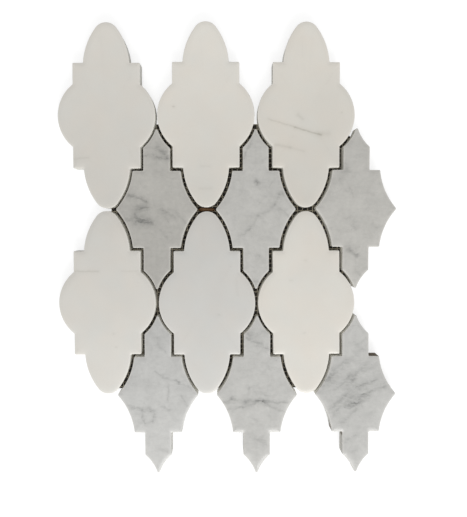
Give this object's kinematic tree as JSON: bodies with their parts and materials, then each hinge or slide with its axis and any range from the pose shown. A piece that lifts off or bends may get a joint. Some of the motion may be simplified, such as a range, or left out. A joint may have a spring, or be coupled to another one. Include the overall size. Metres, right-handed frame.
{
  "type": "marble mosaic tile",
  "caption": "Mesh-mounted marble mosaic sheet of white lantern stones and grey star stones with open joints and interlocking edges, for tiling walls and floors.",
  "frame": {"origin": "middle of the sheet's outline, on the underside of the bonding coat", "axes": "+Z out of the polished face, +Y along the lanterns towards their top row, +X along a row"},
  "size_m": [0.2751, 0.3684, 0.0102],
  "materials": {
    "white_marble": "polished",
    "grey_marble": "polished",
    "glass_yarn": "matte",
    "bonding_coat": "matte"
  },
  "bodies": {
    "root": {"white_lantern_r1c1": "white_marble", "white_lantern_r1c2": "white_marble", "white_lantern_r1c3": "white_marble", "white_lantern_r2c1": "white_marble", "white_lantern_r2c2": "white_marble", "white_lantern_r2c3": "white_marble", "grey_star_r1c1": "grey_marble", "grey_star_r1c2": "grey_marble", "grey_star_r1c3": "grey_marble", "grey_star_r2c1": "grey_marble", "grey_star_r2c2": "grey_marble", "grey_star_r2c3": "grey_marble", "mesh_warp_threads": "glass_yarn", "mesh_weft_threads": "glass_yarn", "bonding_coat": "bonding_coat"}
  },
  "joints": []
}
